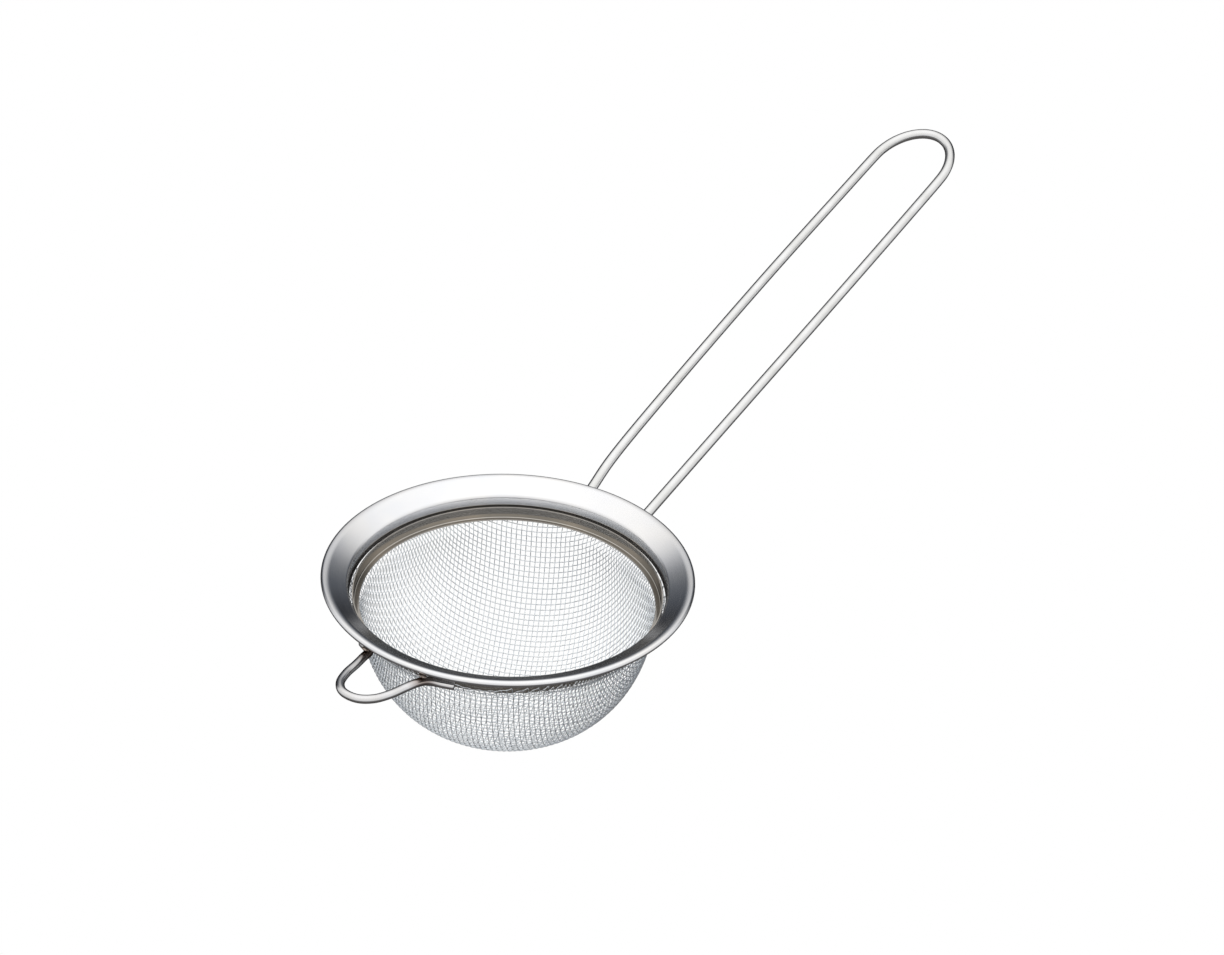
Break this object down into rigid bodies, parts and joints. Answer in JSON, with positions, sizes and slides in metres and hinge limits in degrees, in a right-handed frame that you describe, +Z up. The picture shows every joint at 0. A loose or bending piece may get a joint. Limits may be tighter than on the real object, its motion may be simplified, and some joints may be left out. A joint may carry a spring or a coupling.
{
  "type": "tea strainer",
  "caption": "Round tea strainer with a deep woven-wire bowl in a rolled steel rim, a long bent-wire handle and a small wire rest loop.",
  "frame": {"origin": "middle of the flat bottom of the bowl, on its underside", "axes": "+Z up along the axis of the bowl, with the rim level; +X from the bowl towards the handle; the rest loop points to -X; the object is symmetric across the plane y = 0"},
  "size_m": [0.2512, 0.09, 0.0879],
  "materials": {
    "rim_steel": "polished",
    "ring_steel": "satin",
    "cloth_wire": "drawn wire",
    "handle_wire": "polished",
    "loop_wire": "polished",
    "weld_metal": "heat-tinted"
  },
  "bodies": {
    "root": {"rim": "rim_steel", "retaining_ring": "ring_steel", "mesh_bowl": "cloth_wire", "handle": "handle_wire", "rest_loop": "loop_wire", "handle_weld_left": "weld_metal", "handle_weld_right": "weld_metal", "rest_loop_weld_left": "weld_metal", "rest_loop_weld_right": "weld_metal"}
  },
  "joints": []
}
